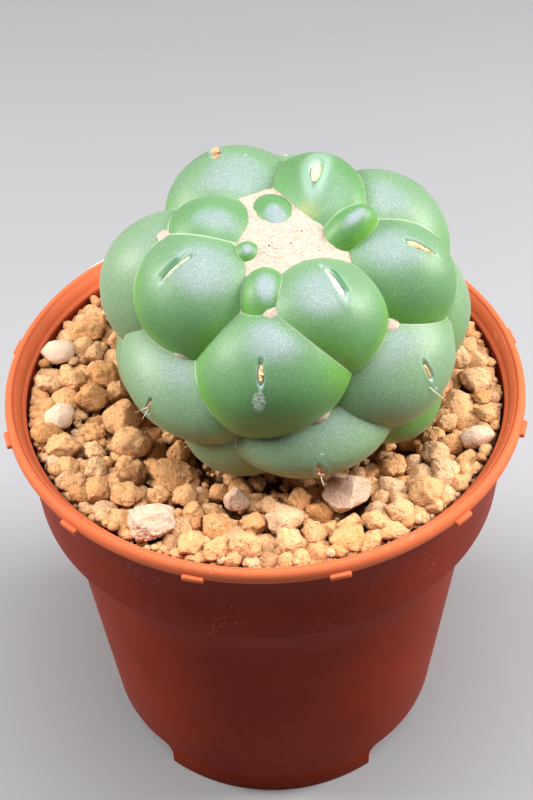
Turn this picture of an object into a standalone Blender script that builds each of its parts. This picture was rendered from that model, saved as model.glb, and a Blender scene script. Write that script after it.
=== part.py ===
# Potted coryphantha: a smooth, broad-tubercled cactus in a 10.5 cm moulded plastic pot of baked-clay grit.
# Units are metres, +Z is up, and the origin is the middle of the pot's foot, on the surface it stands on.

import math
import random

import bmesh
import bpy
from mathutils import Matrix, Vector, noise

mm = 0.001
gap = 0.3 * mm

# Pot
rim_radius = 52.5 * mm
pot_height = 91.5 * mm
bead_drop = 3.0 * mm
collar_top_radius = 49.7 * mm
collar_low_radius = 47.9 * mm
collar_low_height = 67.1 * mm
wall_top_radius = 43.7 * mm
wall_low_radius = 35.9 * mm
foot_radius = 35.3 * mm
skirt_height = 6.4 * mm
floor_height = 6.8 * mm
pot_wall = 1.3 * mm
pot_turns = 48
feet = 3
foot_arc = math.radians(76)
foot_turn = math.radians(-3)
arch_rounding = 2.6 * mm
rim_tabs = 12
tab_turn = math.radians(-76)
tab_size = (3 * mm, 4.2 * mm, 1.1 * mm)
drain_holes = 6
drain_ring_radius = 21 * mm
drain_radius = 3.5 * mm

# Grit: its top is lower at the back than at the front
bed_height = 86.8 * mm
bed_slope = 0.01
grain_count = 116
grain_radii = (2.4 * mm, 4.7 * mm)
grain_facets = 6
grain_seed = 7
grain_tries = 60000
pumice_facets = 10

# Plant: tubercles stand in a golden-angle spiral round a growing point that leans to the front
plant_centre = Vector((4.4 * mm, 0, 108 * mm))
plant_lean = math.radians(11)
first_turn = 185
golden_turn = 137.5
fall_start, fall_rate, fall_power = 13, 7.3, 0.82
body_radius, body_half_height, body_lift = 25.4 * mm, 20.4 * mm, 2.5 * mm
body_facets, tubercle_facets, small_facets = (24, 14), (16, 10), (10, 7)
grown_ages = range(4, 29)
felt_thickness, felt_below = 1.6 * mm, 4 * mm
felt_facets, tuft_facets = (32, 18), (12, 7)
axil_ages = (11, 12, 13, 14, 15, 16, 17, 18, 19, 20)
axil_above, axil_above_loss = 27, 1.4
axil_rise, axil_half_width, axil_half_depth = 0.7 * mm, 3.4 * mm, 4 * mm
root_top, root_bottom = 98 * mm, 44 * mm
root_radius, root_tip_radius = 12 * mm, 3 * mm

# Each tubercle by age, youngest first, as read from the photo: degrees of sway and dip from the spiral's
# rule, roll in degrees, then half width, half height, half depth and reach from the plant's centre in millimetres.
# The second youngest hasn't broken through the felt, and older ones with no sway are on the hidden side.
tubercles = {
    0: (14, 5, 0, 3, 3, 3.5, 26),
    2: (2, -4, 5, 5, 7, 4.5, 26),
    3: (16, 1, 20, 5.5, 7, 6, 28),
    4: (-1, -4, -55, 6.5, 5, 10.5, 31.5),
    5: (7, 3, 15, 11, 11, 11.5, 31),
    6: (9, -1, -25, 13, 12, 13.5, 32),
    7: (-3, -4, -40, 16, 10, 15.5, 33),
    8: (-11, -1, 15, 15, 13.5, 15.5, 33.5),
    9: (12, 2, -35, 12, 13.5, 16, 36.5),
    10: (-3, 0, -10, 15, 11, 15.5, 36),
    11: (4, 0, 32, 16, 13.5, 15, 34),
    12: (-10, -8, 25, 15, 12, 14.5, 37),
    13: (-3, 2, 15, 14, 15.5, 15, 37),
    14: (16, 7, 5, 16.5, 12.5, 17, 36),
    15: (0, 0, 0, 16, 12.5, 15.5, 35.5),
    16: (-7, 3, 0, 17, 10, 14.5, 35.5),
    17: (0, 3, -15, 14, 15, 14.5, 36.5),
    18: (0, 0, 0, 16, 12, 15.5, 35.5),
    19: (3, 1, 0, 17.5, 8.5, 16, 35.5),
    20: (0, 0, 0, 16, 11.5, 15.5, 35),
    21: (0, 0, 0, 15, 11, 15, 34.5),
    22: (-7, -2, -10, 13, 11, 15.5, 35.5),
    23: (0, 0, 0, 15, 11, 15, 34.5),
    24: (0, -5, 10, 13.5, 11.5, 13.5, 33.5),
    25: (0, -6, 0, 14, 11, 14, 34),
    26: (0, -6, 0, 14, 11, 14, 34),
    28: (0, -8, 0, 14, 11, 14, 33.5),
}

# Areole pads by the age of their tubercle: how far across and up its face, from -1 to 1, the turn in degrees
# of its long axis from across, and its half length and half width in millimetres
areoles = {
    6: (-0.09, 0.62, -69, 3.6, 1.0),
    7: (-0.24, 0.55, -27, 2.6, 1.2),
    8: (0.19, 0.43, 99, 3.4, 0.8),
    9: (-0.33, 0.41, -70, 2.8, 0.9),
    10: (-0.07, 0.43, 85, 1.6, 0.9),
    11: (0.11, 0.36, -97, 1.9, 0.8),
    12: (0.2, -0.35, 90, 1.8, 0.8),
    13: (0, -0.35, 90, 1.8, 0.8),
    14: (-0.13, 0.42, -99, 1.6, 0.8),
    15: (0, 0.42, 90, 1.8, 0.8),
    16: (0.11, 0.15, 90, 1.5, 0.8),
    17: (0, -0.35, 90, 1.6, 0.8),
    18: (0, 0.42, 90, 1.6, 0.8),
    19: (-0.06, 0.03, -83, 1.5, 0.8),
    20: (0, 0.3, 90, 1.5, 0.8),
}
areole_depth = 1.1 * mm
areole_facets = (8, 5)

# Pale stones: place on the grit, half length, half width and half height in millimetres, and turn in degrees
pumice_stones = (
    (-22.6, -37.2, 4.1, 3.8, 3.2, 20),
    (15.2, -30.6, 4.9, 4.5, 3.4, 70),
    (41.3, -16.2, 3.7, 2.1, 2.4, 15),
    (-42.6, 13.6, 3.4, 2.9, 2.6, 80),
    (-41.4, -6.0, 3.6, 3.2, 2.7, 40),
    (-6.2, -30.8, 2.8, 2.4, 2.3, 0),
    (30.0, 31.0, 3.6, 3.0, 2.8, 30),
)


def clear_scene():
    for item in list(bpy.data.objects):
        bpy.data.objects.remove(item, do_unlink=True)


def new_collection(name):
    made = bpy.data.collections.new(name)
    bpy.context.scene.collection.children.link(made)
    return made


def material(name, colour, roughness):
    made = bpy.data.materials.new(name)
    made.use_nodes = True
    shader = made.node_tree.nodes["Principled BSDF"]
    shader.inputs["Base Color"].default_value = (*colour, 1)
    shader.inputs["Roughness"].default_value = roughness
    shader.inputs["Metallic"].default_value = 0
    made.diffuse_color = (*colour, 1)
    return made


def object_from(bm, name, collection, place=None):
    mesh = bpy.data.meshes.new(name)
    bm.to_mesh(mesh)
    bm.free()
    made = bpy.data.objects.new(name, mesh)
    if place is not None:
        made.matrix_world = place
    collection.objects.link(made)
    return made


def turned(name, profile, turns, collection, axis_x=0.0):
    """A solid of revolution from (radius, height) points that run down its outer side or up its inner one."""
    bm = bmesh.new()
    points = [bm.verts.new((radius, 0, height)) for radius, height in profile]
    for first, second in zip(points, points[1:]):
        bm.edges.new((first, second))
    made = object_from(bm, name, collection)
    made.location.x = axis_x
    screw = made.modifiers.new("Turn", "SCREW")
    screw.steps = screw.render_steps = turns
    screw.use_merge_vertices = True
    screw.merge_threshold = 0.00001
    freeze(made)
    return made


def freeze(item):
    """Replaces the mesh by what its modifiers make of it."""
    bpy.context.view_layer.update()
    graph = bpy.context.evaluated_depsgraph_get()
    mesh = bpy.data.meshes.new_from_object(item.evaluated_get(graph))
    item.modifiers.clear()
    item.data = mesh


def combine(item, operation, tools):
    """One Boolean with every object of a collection, which is then emptied."""
    boolean = item.modifiers.new(operation.title(), "BOOLEAN")
    boolean.operation = operation
    boolean.operand_type = "COLLECTION"
    boolean.collection = tools
    freeze(item)
    for tool in list(tools.objects):
        bpy.data.objects.remove(tool, do_unlink=True)


def finish(item, surface, sharp_angle=40):
    item.data.materials.clear()
    item.data.materials.append(surface)
    item.data.shade_smooth()
    item.data.set_sharp_from_angle(angle=math.radians(sharp_angle))


def wall_radius(height):
    share = (height - skirt_height) / (collar_low_height - skirt_height)
    return wall_low_radius + (wall_top_radius - wall_low_radius) * share


def collar_radius(height):
    share = (height - collar_low_height) / (pot_height - bead_drop - collar_low_height)
    return collar_low_radius + (collar_top_radius - collar_low_radius) * share


def pot_inside(clearance=0.0):
    """(radius, height) from the top of the collar's inside down to the floor."""
    top = pot_height - bead_drop
    step = collar_low_height + pot_wall
    return [
        (collar_radius(top) - pot_wall - clearance, top),
        (collar_radius(step + 0.8 * mm) - pot_wall - clearance, step + 0.8 * mm),
        (collar_radius(step) - pot_wall - 0.7 * mm - clearance, step + clearance),
        (wall_radius(step) - pot_wall + 0.5 * mm - clearance, step - 0.9 * mm + clearance),
        (wall_radius(step) - pot_wall - 0.2 * mm - clearance, step - 1.7 * mm),
        (wall_radius(floor_height) - pot_wall - clearance, floor_height + 3 * mm),
        (wall_radius(floor_height) - pot_wall - 1.5 * mm - clearance, floor_height + pot_wall + clearance),
    ]


def make_pot(parts, tools):
    top = pot_height
    inside = pot_inside()
    lip_radius = rim_radius - 2.5 * mm
    bead = [
        (lip_radius - 0.7 * mm, top - 1.9 * mm),
        (lip_radius, top - 0.7 * mm),
        (lip_radius + 0.7 * mm, top - 0.1 * mm),
        (rim_radius - 1.1 * mm, top),
        (rim_radius - 0.35 * mm, top - 0.4 * mm),
        (rim_radius, top - 1.2 * mm),
        (rim_radius, top - 2.2 * mm),
        (rim_radius - 0.4 * mm, top - 2.9 * mm),
        (rim_radius - 1.3 * mm, top - bead_drop - 0.1 * mm),
    ]
    outside = [
        (collar_top_radius, top - bead_drop - 0.4 * mm),
        (collar_low_radius, collar_low_height + 0.5 * mm),
        (collar_low_radius - 0.5 * mm, collar_low_height),
        (wall_top_radius + 0.5 * mm, collar_low_height - 0.5 * mm),
        (wall_radius(collar_low_height - 1.2 * mm), collar_low_height - 1.2 * mm),
        (wall_low_radius, skirt_height),
        (foot_radius, 0.4 * mm),
        (foot_radius - 0.3 * mm, 0),
        (foot_radius - 1.6 * mm, 0),
        (foot_radius - 1.8 * mm, floor_height - 0.5 * mm),
        (foot_radius - 2.4 * mm, floor_height),
        (0, floor_height),
    ]
    profile = [(0, inside[-1][1])] + inside[::-1] + bead + outside
    pot = turned("pot", profile, pot_turns, parts)

    # Tabs left by the mould, under the bead
    for index in range(rim_tabs):
        angle = tab_turn + math.tau / rim_tabs * index
        bm = bmesh.new()
        bmesh.ops.create_cube(bm, size=1, matrix=Matrix.Diagonal((*tab_size, 1)))
        out = Matrix.Translation((rim_radius - 0.7 * mm, 0, top - 2.3 * mm))
        object_from(bm, "tab", tools, Matrix.Rotation(angle, 4, "Z") @ out)
    combine(pot, "UNION", tools)

    # Arched gaps between the feet, and the drain holes
    arch = math.tau / feet - foot_arc
    for index in range(feet):
        start = -math.pi / 2 + foot_turn + foot_arc / 2 + math.tau / feet * index
        bm = bmesh.new()
        low, high = -2 * mm, skirt_height - 0.2 * mm
        inner, outer = foot_radius - 4 * mm, foot_radius + 3 * mm
        ring = [(inner, low), (outer, low), (outer, high), (inner, high)]
        face = bm.faces.new([bm.verts.new((radius, 0, height)) for radius, height in ring])
        bmesh.ops.spin(bm, geom=[face] + face.edges[:] + face.verts[:], cent=(0, 0, 0), axis=(0, 0, 1),
                       angle=arch, steps=7, use_duplicate=False)
        bmesh.ops.recalc_face_normals(bm, faces=bm.faces)
        ends = [edge for edge in bm.edges
                if all(vert.co.z > 0 for vert in edge.verts) and edge.calc_face_angle(0) > 1.2
                and abs(edge.verts[0].co.xy.length - edge.verts[1].co.xy.length) > 5 * mm]
        bmesh.ops.bevel(bm, geom=ends, offset=arch_rounding, segments=3, profile=0.5, affect="EDGES")
        object_from(bm, "arch", tools, Matrix.Rotation(start, 4, "Z"))
    for index in range(drain_holes):
        angle = math.tau / drain_holes * (index + 0.5)
        bm = bmesh.new()
        bmesh.ops.create_cone(bm, cap_ends=True, segments=12, radius1=drain_radius, radius2=drain_radius,
                              depth=4 * pot_wall)
        out = Matrix.Translation((drain_ring_radius, 0, floor_height + pot_wall / 2))
        object_from(bm, "drain", tools, Matrix.Rotation(angle, 4, "Z") @ out)
    combine(pot, "DIFFERENCE", tools)
    finish(pot, material("pot_plastic", (0.50, 0.10, 0.035), 0.42))


def tubercle_frame(age):
    """Where a tubercle's middle is, with its across, up and outward axes and its half sizes."""
    sway, dip, roll, half_width, half_height, half_depth, reach = tubercles[age]
    turn = math.radians(first_turn + golden_turn * age + sway)
    fall = math.radians(fall_start + fall_rate * age**fall_power + dip)
    out = Vector((math.cos(turn) * math.sin(fall), math.sin(turn) * math.sin(fall), math.cos(fall)))
    across = Vector((-math.sin(turn), math.cos(turn), 0))
    across.rotate(Matrix.Rotation(math.radians(roll), 3, out))
    up = out.cross(across)
    lean = Matrix.Rotation(plant_lean, 3, "X")
    axes = Matrix((lean @ across, lean @ up, lean @ out)).transposed()
    middle = plant_centre + lean @ out * (reach - half_depth) * mm
    return middle, axes, Vector((half_width, half_height, half_depth)) * mm


def lump(name, place, half, facets, collection):
    """A spheroid of three half sizes; facets are its segments round and its rings."""
    bm = bmesh.new()
    size = Matrix.Diagonal((*half, 1))
    bmesh.ops.create_uvsphere(bm, u_segments=facets[0], v_segments=facets[1], radius=1, matrix=size)
    return object_from(bm, name, collection, place)


def tubercle(name, age, grow, collection):
    middle, axes, half = tubercle_frame(age)
    facets = tubercle_facets if age in grown_ages else small_facets
    place = Matrix.Translation(middle) @ axes.to_4x4()
    return lump(name, place, half + Vector((grow, grow, grow)), facets, collection)


def body(name, grow, facets, collection):
    """The spheroid that the tubercles stand out of."""
    lean = Matrix.Rotation(plant_lean, 4, "X")
    place = Matrix.Translation(plant_centre) @ lean @ Matrix.Translation((0, 0, body_lift))
    half = Vector((body_radius, body_radius, body_half_height)) + Vector((grow, grow, grow))
    return lump(name, place, half, facets, collection)


def areole(name, age, grow, collection):
    """A long pad in the face of a tubercle, along its groove."""
    middle, axes, half = tubercle_frame(age)
    across, up, twist, half_length, half_width = areoles[age]
    unit = Vector((across, up, math.sqrt(1 - across**2 - up**2)))
    point = middle + axes @ Vector((unit.x * half.x, unit.y * half.y, unit.z * half.z))
    normal = (axes @ Vector((unit.x / half.x, unit.y / half.y, unit.z / half.z))).normalized()
    along = axes @ Vector((math.cos(math.radians(twist)), math.sin(math.radians(twist)), 0))
    along = (along - normal * along.dot(normal)).normalized()
    side = normal.cross(along)
    turn = Matrix((along, side, normal)).transposed().to_4x4()
    half = Vector((half_length * mm + grow, half_width * mm + grow, areole_depth + grow))
    return lump(name, Matrix.Translation(point - normal * 0.2 * mm) @ turn, half, areole_facets, collection)


def root_profile(grow=0.0):
    return [
        (0, root_top),
        (root_radius + grow, root_top),
        (root_radius + grow, bed_height - 6 * mm),
        (root_radius * 0.55 + grow, bed_height - 20 * mm),
        (root_tip_radius + grow, root_bottom - grow),
        (0, root_bottom - grow),
    ]


def make_plant(parts, tools):
    plant = body("plant", 0, body_facets, parts)
    for age in tubercles:
        tubercle("tubercle", age, 0, tools)
    turned("root", root_profile(), 16, tools, plant_centre.x)
    combine(plant, "UNION", tools)
    for age in areoles:
        areole("socket", age, gap, tools)
    combine(plant, "DIFFERENCE", tools)
    finish(plant, material("cactus_skin", (0.10, 0.27, 0.11), 0.45), 30)


def make_areoles(parts):
    pad = material("areole_wool", (0.80, 0.68, 0.45), 0.95)
    for index, age in enumerate(areoles, 1):
        finish(areole(f"areole_wool_{index:02d}", age, 0, parts), pad)


def keep_largest(item):
    """Drops the loose scraps that a cut leaves and the hollows that fusing seals, so one body stays."""
    bm = bmesh.new()
    bm.from_mesh(item.data)
    bmesh.ops.dissolve_degenerate(bm, edges=bm.edges, dist=0.005 * mm)
    bmesh.ops.triangulate(bm, faces=bm.faces)
    left = set(bm.faces)
    groups = []
    while left:
        front = [left.pop()]
        group = []
        while front:
            face = front.pop()
            group.append(face)
            for other in {other for edge in face.edges for other in edge.link_faces} & left:
                left.remove(other)
                front.append(other)
        groups.append(group)

    def spread(group):
        start = group[0].calc_center_median()
        return max((face.calc_center_median() - start).length for face in group)

    groups.sort(key=spread)
    bmesh.ops.delete(bm, geom=[face for group in groups[:-1] for face in group], context="FACES")
    bm.to_mesh(item.data)
    bm.free()


def surface_reach(out):
    """How far the tubercles reach from the plant's centre along a direction."""
    reach = 0
    for age in tubercles:
        middle, axes, half = tubercle_frame(age)
        start = axes.transposed() @ (plant_centre - middle)
        way = axes.transposed() @ out
        start = Vector(start[k] / half[k] for k in range(3))
        way = Vector(way[k] / half[k] for k in range(3))
        square, cross = way.length_squared, way.dot(start)
        inside = cross**2 - square * (start.length_squared - 1)
        if inside > 0:
            reach = max(reach, (-cross + math.sqrt(inside)) / square)
    return reach


def axil_pit(age):
    """The pit on a tubercle's upper side, as a direction and a reach from the plant's centre."""
    sway, dip = tubercles[age][:2]
    turn = math.radians(first_turn + golden_turn * age + sway)
    above = axil_above - axil_above_loss * (age - axil_ages[0])
    fall = math.radians(fall_start + fall_rate * age**fall_power + dip - above)
    out = Vector((math.cos(turn) * math.sin(fall), math.sin(turn) * math.sin(fall), math.cos(fall)))
    out.rotate(Matrix.Rotation(plant_lean, 3, "X"))
    return out, surface_reach(out)


def cut_felt(felt, wool, tools):
    """Cuts a piece of felt back to what shows between the tubercles on the plant's upper side."""
    for age in tubercles:
        tubercle("cutter", age, gap, tools)
    body("cutter", gap, body_facets, tools)
    bm = bmesh.new()
    bmesh.ops.create_cube(bm, size=2 * rim_radius)
    below = plant_centre - Vector((0, 0, rim_radius + felt_below))
    object_from(bm, "cutter", tools, Matrix.Translation(below))
    combine(felt, "DIFFERENCE", tools)
    keep_largest(felt)
    finish(felt, wool)


def make_felt(parts, tools):
    wool = material("wool", (0.86, 0.76, 0.64), 0.95)
    cut_felt(body("crown_wool", felt_thickness, felt_facets, parts), wool, tools)
    for index, age in enumerate(axil_ages, 1):
        out, reach = axil_pit(age)
        middle = plant_centre + out * (reach + axil_rise - axil_half_depth)
        place = Matrix.Translation(middle) @ out.to_track_quat("Z", "Y").to_matrix().to_4x4()
        half = (axil_half_width, axil_half_width, axil_half_depth)
        cut_felt(lump(f"axil_wool_{index:02d}", place, half, tuft_facets, parts), wool, tools)


def inside_plant(point, clearance):
    for age in tubercles:
        middle, axes, half = tubercle_frame(age)
        local = axes.transposed() @ (point - middle)
        if sum((local[k] / (half[k] + clearance)) ** 2 for k in range(3)) < 1:
            return True
    return False


def bed_top(y):
    return bed_height - bed_slope * y


def stone(name, middle, turn, half, number, roughness, facets, collection):
    """A rounded, slightly angular stone; its number sets where its noise is read."""
    bm = bmesh.new()
    bmesh.ops.create_uvsphere(bm, u_segments=facets, v_segments=facets // 2 + 1, radius=1)
    offset = Vector((number * 3.1, number * 1.7, 0))
    for vert in bm.verts:
        vert.co *= 1 + roughness * noise.noise(vert.co * 1.6 + offset)
    bmesh.ops.scale(bm, vec=half, verts=bm.verts)
    return object_from(bm, name, collection, Matrix.Translation(middle) @ Matrix.Rotation(turn, 4, "Z"))


def make_pumice(parts):
    pale = material("pumice", (0.78, 0.62, 0.54), 0.9)
    for index, (x, y, length, width, height, turn) in enumerate(pumice_stones, 1):
        middle = Vector((x * mm, y * mm, bed_top(y * mm) + 0.72 * height * mm + gap))
        half = Vector((length, width, height)) * mm
        name = f"pumice_{index}"
        item = stone(name, middle, math.radians(turn), half, 40 + index, 0.22, pumice_facets, parts)
        for vert in item.data.vertices:
            place = item.matrix_world @ vert.co
            place.z = max(place.z, bed_top(place.y) + gap)
            vert.co = item.matrix_world.inverted() @ place
        finish(item, pale, 60)


def grain_places():
    """Middles and radii of the grains, larger ones first, clear of the wall, the stones and the plant."""
    rng = random.Random(grain_seed)
    wall = pot_inside(gap)[0][0]
    placed = [(Vector((x, y)) * mm, (length + width) / 2 * mm, False)
              for x, y, length, width, *_ in pumice_stones]
    grains = []
    tries = 0
    while len(grains) < grain_count and tries < grain_tries:
        tries += 1
        share = len(grains) / grain_count
        radius = grain_radii[1] + (grain_radii[0] - grain_radii[1]) * share**0.6
        angle, out = rng.uniform(0, math.tau), wall * math.sqrt(rng.random())
        spot = Vector((out * math.cos(angle), out * math.sin(angle)))
        if spot.length + radius * 1.02 > wall - 0.4 * mm:
            continue
        if (spot - plant_centre.xy).length < root_radius + radius + 7 * mm:
            continue
        if any((spot - other).length < (radius + size) * (0.8 if grain else 1.12) + (0 if grain else gap)
               for other, size, grain in placed):
            continue
        placed.append((spot, radius, True))
        grains.append((spot, radius))
    return grains


def make_grit(parts, tools):
    inside = [point for point in pot_inside(gap) if point[1] < bed_height]
    top_radius = pot_inside(gap)[0][0]
    profile = [(0, bed_height), (top_radius - 0.2 * mm, bed_height)] + inside + [(0, inside[-1][1])]
    bed = turned("grit_bed", profile, 48, parts)
    for vert in bed.data.vertices:
        if vert.co.z > bed_height - 0.1 * mm:
            vert.co.z = bed_top(vert.co.y)
    rng = random.Random(grain_seed + 1)
    for index, (spot, radius) in enumerate(grain_places()):
        height = radius * rng.uniform(0.62, 0.85)
        middle = Vector((spot.x, spot.y, bed_top(spot.y) + height * rng.uniform(0.1, 0.5)))
        turn = rng.uniform(0, math.tau)
        half = Vector((radius, radius * rng.uniform(0.82, 1), height))
        lowered = 0
        while lowered < 12 and inside_plant(middle + Vector((0, 0, height * 1.05)), 1.2 * mm + radius * 0.5):
            middle.z -= 0.5 * mm
            lowered += 1
        if middle.z + height < bed_top(spot.y) + 0.8 * mm:
            continue
        stone("grain", middle, turn, half, index, 0.3, grain_facets, tools)
    combine(bed, "UNION", tools)
    turned("hole", root_profile(0.4 * mm), 16, tools, plant_centre.x)
    combine(bed, "DIFFERENCE", tools)
    keep_largest(bed)
    finish(bed, material("baked_clay", (0.62, 0.36, 0.15), 0.92), 60)


clear_scene()
parts = new_collection("potted_coryphantha")
tools = new_collection("tools")
tools.hide_render = True
make_pot(parts, tools)
make_plant(parts, tools)
make_areoles(parts)
make_felt(parts, tools)
make_pumice(parts)
make_grit(parts, tools)
bpy.data.collections.remove(tools)
print(len(parts.objects), "pieces made")
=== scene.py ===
# Potted coryphantha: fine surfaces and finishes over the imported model. Metres, +Z up.

import math
import random

import bmesh
import bpy
import numpy as np
from mathutils import Matrix, Vector, noise


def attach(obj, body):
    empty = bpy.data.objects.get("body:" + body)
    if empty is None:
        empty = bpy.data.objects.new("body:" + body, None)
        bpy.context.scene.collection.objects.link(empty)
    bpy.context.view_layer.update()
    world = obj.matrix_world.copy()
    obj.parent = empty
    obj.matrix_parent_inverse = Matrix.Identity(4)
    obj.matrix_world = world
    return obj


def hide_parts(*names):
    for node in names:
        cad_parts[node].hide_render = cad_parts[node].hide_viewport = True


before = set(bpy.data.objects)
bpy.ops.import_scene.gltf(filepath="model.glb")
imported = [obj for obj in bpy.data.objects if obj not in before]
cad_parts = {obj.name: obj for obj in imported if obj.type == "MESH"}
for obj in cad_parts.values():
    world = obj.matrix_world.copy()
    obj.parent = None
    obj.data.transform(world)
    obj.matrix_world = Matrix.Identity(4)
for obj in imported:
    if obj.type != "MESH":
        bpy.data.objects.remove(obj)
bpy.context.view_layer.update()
mm = 0.001


# Camera, lights and floor

# angles in degrees, the lens and the sensor in millimetres
view = {
    "place": (0, -0.2942, 0.3679),
    "yaw": 0.05,
    "pitch": 43.82,
    "roll": -1.95,
    "lens": 90,
    "sensor": 36,
    "near": 0.01,
}

studio = {
    "world": (0.80, 0.86, 0.95),
    "worldStrength": 0.05,
    "floor": (0.33, 0.33, 0.345),
    "floorSize": 3.0,
    "aim": (0, 0, 0.11),
    # name: place, size, power in watts and colour
    "lights": {
        "overhead": ((0.01, -0.06, 0.52), 0.32, 2.3, (0.94, 0.97, 1.0)),
        "left": ((-0.46, 0.06, 0.36), 0.25, 3.9, (1.0, 0.97, 0.93)),
        "right": ((0.46, 0.04, 0.38), 0.25, 4.9, (1.0, 0.97, 0.93)),
        "front": ((0.1, -0.9, 0.85), 0.6, 0.25, (1.0, 0.97, 0.93)),
    },
}


def makeCamera():
    yaw, pitch, roll = (math.radians(view[key]) for key in ("yaw", "pitch", "roll"))
    ahead = Vector((math.sin(yaw) * math.cos(pitch), math.cos(yaw) * math.cos(pitch), -math.sin(pitch)))
    right = Vector((math.cos(yaw), -math.sin(yaw), 0))
    above = right.cross(ahead)
    xAxis = math.cos(roll) * right + math.sin(roll) * above
    yAxis = math.cos(roll) * above - math.sin(roll) * right
    data = bpy.data.cameras.new("camera")
    data.lens = view["lens"]
    data.sensor_width = view["sensor"]
    data.clip_start = view["near"]
    camera = bpy.data.objects.new("camera", data)
    turn = Matrix((xAxis, yAxis, -ahead)).transposed().to_4x4()
    camera.matrix_world = Matrix.Translation(view["place"]) @ turn
    bpy.context.scene.collection.objects.link(camera)
    bpy.context.scene.camera = camera


def makeLights():
    target = Vector(studio["aim"])
    for name, (place, size, power, colour) in studio["lights"].items():
        data = bpy.data.lights.new(name, "AREA")
        data.shape = "DISK"
        data.size = size
        data.energy = power
        data.color = colour
        light = bpy.data.objects.new(name, data)
        light.location = place
        light.rotation_euler = (target - Vector(place)).to_track_quat("-Z", "Y").to_euler()
        bpy.context.scene.collection.objects.link(light)
    world = bpy.data.worlds.new("studio")
    world.use_nodes = True
    background = world.node_tree.nodes["Background"]
    background.inputs["Color"].default_value = (*studio["world"], 1)
    background.inputs["Strength"].default_value = studio["worldStrength"]
    bpy.context.scene.world = world
    bpy.context.scene.view_settings.view_transform = "Standard"


# Shader maths: a wire is one socket, and arithmetic on it adds Math nodes

class Wire:
    def __init__(self, tree, socket=None):
        self.tree = tree
        self.socket = socket

    def node(self, kind, settings=None, inputs=None, out=0):
        made = self.tree.nodes.new(kind)
        for key, value in (settings or {}).items():
            if key == "stops":
                ramp = made.color_ramp
                while len(ramp.elements) < len(value):
                    ramp.elements.new(0.5)
                for element, (place, colour) in zip(ramp.elements, value):
                    element.position = place
                    element.color = (*colour, 1)
            else:
                setattr(made, key, value)
        for key, value in (inputs or {}).items():
            if isinstance(value, Wire):
                self.tree.links.new(value.socket, made.inputs[key])
            else:
                made.inputs[key].default_value = value
        return Wire(self.tree, made.outputs[out])

    def maths(self, operation, *values):
        return self.node("ShaderNodeMath", {"operation": operation}, dict(enumerate(values)))

    def __add__(self, other):
        return self.maths("ADD", self, other)

    def __sub__(self, other):
        return self.maths("SUBTRACT", self, other)

    def __rsub__(self, other):
        return self.maths("SUBTRACT", other, self)

    def __mul__(self, other):
        return self.maths("MULTIPLY", self, other)

    __radd__ = __add__
    __rmul__ = __mul__

    def step(self, low, high):
        # 0 below low and 1 above high, smooth between; low may be the larger
        inputs = {"Value": self, "From Min": low, "From Max": high}
        return self.node("ShaderNodeMapRange", {"interpolation_type": "SMOOTHSTEP"}, inputs)

    def blend(self, first, second):
        # this wire is the factor between two colours
        return self.node("ShaderNodeMix", {"data_type": "RGBA"}, {0: self, 6: first, 7: second}, 2)

    def ramp(self, *stops):
        return self.node("ShaderNodeValToRGB", {"stops": stops}, {"Fac": self})

    def vector(self, operation, *others, out=0):
        inputs = dict(enumerate((self, *others)))
        return self.node("ShaderNodeVectorMath", {"operation": operation}, inputs, out)

    def level(self):
        # this wire is a place, and what comes out is its height
        return self.node("ShaderNodeSeparateXYZ", {}, {0: self}, "Z")

    def noise(self, size, detail=3, rough=0.5):
        # this wire is a place, and size is in metres
        inputs = {"Vector": self, "Scale": 1 / size, "Detail": detail, "Roughness": rough}
        return self.node("ShaderNodeTexNoise", {}, inputs, "Fac")

    def cells(self, size):
        return self.node("ShaderNodeTexVoronoi", {}, {"Vector": self, "Scale": 1 / size}, "Distance")

    def bump(self, depth, strength):
        # this wire is a height, and depth is what a height of 1 stands for in metres
        return self.node("ShaderNodeBump", {}, {"Height": self, "Distance": depth, "Strength": strength})

    def named(self, attribute):
        return self.node("ShaderNodeAttribute", {"attribute_name": attribute}, {}, "Fac")


def newMaterial(name, fixed, paint):
    # fixed values go on the shader's own sockets; paint gives the ones that vary
    made = bpy.data.materials.new(name)
    made.use_nodes = True
    tree = made.node_tree
    shader = tree.nodes["Principled BSDF"]
    for key, value in fixed.items():
        shader.inputs[key].default_value = value
    start = Wire(tree)
    place = start.node("ShaderNodeTexCoord", out="Object")
    for key, wire in paint(place).items():
        tree.links.new(wire.socket, shader.inputs[key])
    return made


def rgb(red, green, blue):
    return (red, green, blue, 1)


# Shared making

def newObject(bm, name):
    # the bmesh is freed
    mesh = bpy.data.meshes.new(name)
    bm.to_mesh(mesh)
    bm.free()
    made = bpy.data.objects.new(name, mesh)
    bpy.context.scene.collection.objects.link(made)
    return made


def newPiece(bm, name, material, slot, *nodes):
    piece = newObject(bm, name)
    piece.data.materials.append(material)
    piece.data.shade_smooth()
    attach(piece, "root")
    if nodes:
        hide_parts(*nodes)
    return piece


def absorb(bm, one):
    # moves a small bmesh into a large one, in which the operators would be slow
    mesh = bpy.data.meshes.new("one")
    one.to_mesh(mesh)
    one.free()
    bm.from_mesh(mesh)
    bpy.data.meshes.remove(mesh)


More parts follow.
